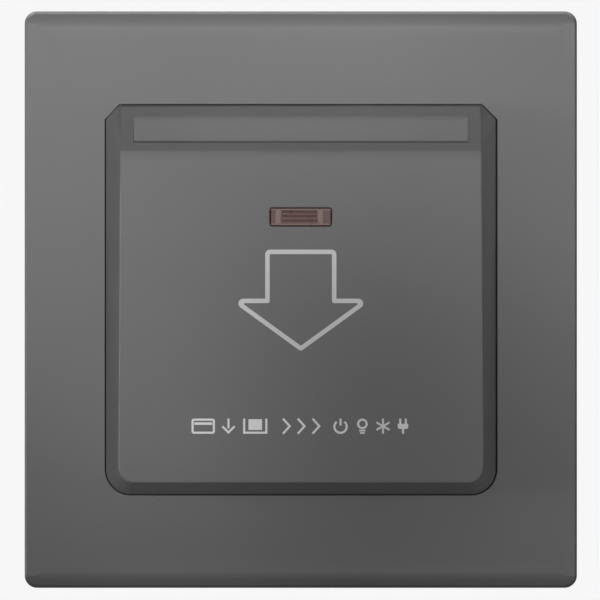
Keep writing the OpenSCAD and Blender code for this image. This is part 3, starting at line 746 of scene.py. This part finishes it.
def pictograms():
    """Row of plain signs under the arrow: card, way in, holder, then power, lamp, cooling and plug."""
    bm = bmesh.new()
    w = 0.34
    z = -20.56
    h = 1.23

    def box(x, cz, hw, hh, r):
        lp = [(x - hw, cz - hh), (x + hw, cz - hh), (x + hw, cz + hh), (x - hw, cz + hh)]
        band(bm, fillet(lp, [r] * 4), fillet(offset(lp, -w), [max(0.03, r - w)] * 4), (0, z))

    # card with its stripe
    box(-15.85, 0, 1.9, h, 0.42)
    patch(bm, [(-17.3, 0.22), (-14.4, 0.22), (-14.4, 0.62), (-17.3, 0.62)], (0, z))
    # arrow down
    patch(bm, stroke([(-11.75, h), (-11.75, -0.35)], w), (0, z))
    patch(bm, stroke([(-12.75, -0.02), (-11.75, -1.02), (-10.75, -0.02)], w), (0, z))
    # holder
    patch(bm, stroke([(-9.2, h), (-9.2, -h + w / 2), (-5.6, -h + w / 2), (-5.6, h)], w), (0, z))
    patch(bm, [(-8.5, -0.62), (-6.3, -0.62), (-6.3, h - 0.1), (-8.5, h - 0.1)], (0, z))
    # three chevrons
    for x in (-2.4, 0.0, 2.4):
        patch(bm, stroke([(x - 0.5, h), (x + 0.6, 0), (x - 0.5, -h)], w), (0, z))
    # power
    patch(bm, [Vector(p) + Vector((6.45, -0.08)) for p in stroke(arc(1.0, 128, 412), w)], (0, z))
    patch(bm, stroke([(6.45, h), (6.45, 0.1)], w), (0, z))
    # lamp
    band(bm, circle(0.86, 40, (10.0, 0.37)), circle(0.86 - w, 40, (10.0, 0.37)), (0, z))
    patch(bm, stroke([(9.5, -0.72), (10.5, -0.72)], 0.26), (0, z))
    patch(bm, stroke([(9.62, -1.1), (10.38, -1.1)], 0.26), (0, z))
    # cooling
    for a in (90, 30, 150):
        c, s = math.cos(math.radians(a)) * h, math.sin(math.radians(a)) * h
        patch(bm, stroke([(13.35 - c, -s), (13.35 + c, s)], 0.3), (0, z))
    # plug
    patch(bm, fillet([(15.75, -0.45), (17.45, -0.45), (17.45, 0.4), (15.75, 0.4)], [0.35, 0.35, 0.06, 0.06]), (0, z))
    for x in (16.15, 17.05):
        patch(bm, stroke([(x, 0.4), (x, h)], w), (0, z))
    patch(bm, stroke([(16.6, -0.45), (16.6, -h)], w), (0, z))
    return place("print_signs", bm, MAT["print_white"], "base", None)


arrow()
pictograms()


# ------------------------------------------------------------ return spring

def spring():
    """Torsion spring on the pin: its coil twists between the fixed leg and the leg on the lever."""
    turns, mean, wire = 3.5, 1.75, 0.28
    x0, x1 = 2.75, 4.85
    path = [Vector((x0, PIVOT[1] + mean, PIVOT[2] - d)) for d in (6.2, 4.6, 3.0, 1.5, 0.6)]
    steps = int(turns * 28)
    for i in range(steps + 1):
        a = 2 * math.pi * turns * i / steps
        path.append(Vector((x0 + (x1 - x0) * i / steps, PIVOT[1] + mean * math.cos(a), PIVOT[2] + mean * math.sin(a))))
    path += [Vector((x1, PIVOT[1] - mean, PIVOT[2] - d)) for d in (0.6, 1.5, 3.0, 4.8, 6.8)]
    bm = bmesh.new()
    rings = []
    side = None
    for i, p in enumerate(path):
        t = (path[min(i + 1, len(path) - 1)] - path[max(i - 1, 0)]).normalized()
        ref = side if side is not None else Vector((1, 0, 0))
        side = (ref - t * ref.dot(t)).normalized()
        up = t.cross(side)
        rings.append([bm.verts.new((p + (side * math.cos(2 * math.pi * k / 14) + up * math.sin(2 * math.pi * k / 14)) * wire) * MM) for k in range(14)])
    for a, b in zip(rings, rings[1:]):
        for k in range(14):
            n = (k + 1) % 14
            bm.faces.new((a[k], a[n], b[n], b[k]))
    for end, lp, s in ((path[0], rings[0], -1), (path[-1], rings[-1], 1)):
        bm.faces.new(lp if s > 0 else lp[::-1])
    for f in bm.faces:
        f.smooth = True
    o = place("return_spring_coil", bm, MAT["spring_steel"], None, "return_spring")
    o.data.set_sharp_from_angle(angle=math.radians(50))
    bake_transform(o)
    return o


spring()

# -------------------------------------------------- frame, housing and works

for node, r, shortest in (
    ("card_guide", 0.14, 0.7), ("mounting_frame", 0.2, 0.7), ("rear_housing", 0.25, 0.9),
    ("frame_screws", 0.1, 0.3), ("guide_screws", 0.1, 0.3), ("actuator_lever", 0.14, 0.6), ("lever_pin", 0.1, 0.2),
    ("microswitch_case", 0.12, 0.6), ("microswitch_lid", 0.1, 0.6), ("microswitch_screws", 0.08, 0.25),
    ("microswitch_plunger", 0.08, 0.2), ("contact_blade", 0.03, 0.3), ("moving_contact", 0.08, 0.1),
    ("common_busbar", 0.08, 0.4), ("load_busbar", 0.08, 0.4), ("rest_contact", 0.08, 0.4), ("fixed_contacts", 0.08, 0.1),
    ("line_terminal", 0.15, 0.6), ("neutral_terminal", 0.15, 0.6), ("load_terminal", 0.15, 0.6), ("terminal_screws", 0.1, 0.25),
    ("lamp_board", 0.05, 0.4), ("neon_lamp", 0.05, 0.3), ("lamp_electrodes", 0.03, 0.1), ("dropping_resistor", 0.1, 0.2),
    ("lamp_lead_line", 0.03, 0.1), ("lamp_lead_neutral", 0.03, 0.1),
):
    refined(node, small(r, shortest), node + "_body", top=r)


# ----------------------------------------------------------- floor and light

def floor():
    bm = bmesh.new()
    n = 96
    rings = [[bm.verts.new((r * math.cos(2 * math.pi * k / n), r * math.sin(2 * math.pi * k / n), -0.13)) for k in range(n)] for r in (0.05, 0.3, 0.7, 1.2)]
    bm.faces.new(rings[0])
    for a, b in zip(rings, rings[1:]):
        for k in range(n):
            bm.faces.new((a[k], b[k], b[(k + 1) % n], a[(k + 1) % n]))
    me = bpy.data.meshes.new("floor")
    bm.to_mesh(me)
    bm.free()
    o = bpy.data.objects.new("floor", me)
    SCENE.collection.objects.link(o)
    me.materials.append(plastic("floor_pale", (0.8, 0.8, 0.8), (0.6, 0.7), grain=900, vary=0.01, cloud=4, fleck=0.01))
    o.visible_diffuse = o.visible_glossy = o.visible_transmission = False
    return o


FLOOR = floor()


def light(name, kind, at, aim, size, power, cone=0.0, gloss=True, only=None, diffuse=True):
    d = bpy.data.lights.new(name, kind)
    if kind == "AREA":
        d.shape = "RECTANGLE"
        d.size, d.size_y = size
        if cone:
            d.spread = math.radians(cone)
    else:
        d.shadow_soft_size = size
        d.spot_size = math.radians(cone)
        d.spot_blend = 1.0
    d.energy = power
    o = bpy.data.objects.new(name, d)
    o.location = at
    o.rotation_mode = "QUATERNION"
    o.rotation_quaternion = (Vector(aim) - Vector(at)).to_track_quat("-Z", "Y")
    o.visible_camera = False
    o.visible_glossy = gloss
    o.visible_diffuse = diffuse
    SCENE.collection.objects.link(o)
    if only is not None:
        group = bpy.data.collections.new(name + "_lit")
        for lit in only:
            group.objects.link(lit)
        o.light_linking.receiver_collection = group
    return o


# Soft light from the front, brighter at the top left, with weaker lights from the sides, above and behind
LIGHTS = [
    ("front", "AREA", (0.03, -2.2, -0.065), (0, 0, 0), (0.3, 0.3), 16.1, 0.0, False),
    ("front_top_left", "SPOT", (0.03, -2.0, -0.065), (-0.055, 0, 0.06), 0.02, 121.5, 5.8, False),
    ("front_top_right", "SPOT", (0.03, -2.0, -0.065), (0.065, 0, 0.06), 0.02, 92.8, 5.0, False),
    ("front_low_left", "SPOT", (0.03, -2.0, -0.065), (-0.0235, 0, -0.025), 0.02, 43.0, 1.7, False),
    ("front_right", "SPOT", (0.03, -2.0, -0.065), (0.075, 0, -0.015), 0.02, 29.0, 4.0, False),
    ("left", "AREA", (-0.8, -0.25, 0.05), (0, 0, 0), (0.4, 0.6), 0.22, 30.0),
    ("right", "AREA", (0.8, -0.25, 0.05), (0, 0, 0), (0.4, 0.6), 0.102, 30.0),
    ("top", "AREA", (0.0, -0.3, 0.8), (0, 0, 0), (0.6, 0.4), 0.029, 40.0),
    ("below", "AREA", (0.0, -0.055, -0.12), (0, -0.013, -0.03), (0.2, 0.05), 0.0105, 0.0, True, (COVER,)),
    ("rear_top", "AREA", (-0.02, 0.17, 0.232), (0, -0.005, 0.047), (0.3, 0.1), 0.45),
    ("rear_left", "AREA", (-0.255, 0.13, 0.05), (-0.045, -0.005, 0), (0.1, 0.3), 0.16),
    ("rear_right", "AREA", (0.1, 0.37, 0.06), (0, 0, 0), (0.25, 0.25), 0.28),
    ("sheen_top", "AREA", (0.0, -0.125, 0.1), (0, -0.0085, 0.0455), (0.22, 0.02), 0.068, 0.0, True, (PLATE,), False),
    ("sheen_bottom", "AREA", (0.0, -0.125, -0.1), (0, -0.0085, -0.0455), (0.22, 0.02), 0.03, 0.0, True, (PLATE,), False),
    ("above", "AREA", (0.0, -0.2, 1.5), (0, 0, 0), (1.6, 1.6), 23.0, 0.0, False, (FLOOR,)),
]
for spec in LIGHTS:
    light(*spec)

world = bpy.data.worlds.new("studio")
SCENE.world = world
world.use_nodes = True
wt = world.node_tree
wt.nodes.clear()
w_out = wt.nodes.new("ShaderNodeOutputWorld")
w_mix = wt.nodes.new("ShaderNodeMixShader")
w_path = wt.nodes.new("ShaderNodeLightPath")
w_room = wt.nodes.new("ShaderNodeBackground")
w_seen = wt.nodes.new("ShaderNodeBackground")
w_room.inputs["Color"].default_value = (1, 1, 1, 1)
w_room.inputs["Strength"].default_value = 0.02
w_seen.inputs["Color"].default_value = (0.93, 0.93, 0.93, 1)
w_seen.inputs["Strength"].default_value = 1.0
wt.links.new(w_path.outputs["Is Camera Ray"], w_mix.inputs["Fac"])
wt.links.new(w_room.outputs["Background"], w_mix.inputs[1])
wt.links.new(w_seen.outputs["Background"], w_mix.inputs[2])
wt.links.new(w_mix.outputs["Shader"], w_out.inputs["Surface"])

SCENE.view_settings.view_transform = "Standard"
SCENE.view_settings.look = "None"

# ------------------------------------------------------------------- camera

DISTANCE = 3.0
cam_data = bpy.data.cameras.new("camera")
cam = bpy.data.objects.new("camera", cam_data)
SCENE.collection.objects.link(cam)
cam_data.sensor_width = 36.0
cam_data.lens = 36.0 * DISTANCE / 0.09775
cam_data.clip_start, cam_data.clip_end = 0.1, 20.0
cam.location = (-0.00013, PLATE_FRONT * MM - DISTANCE, -0.00007)
cam.rotation_euler = (math.pi / 2, 0, 0)
SCENE.camera = cam
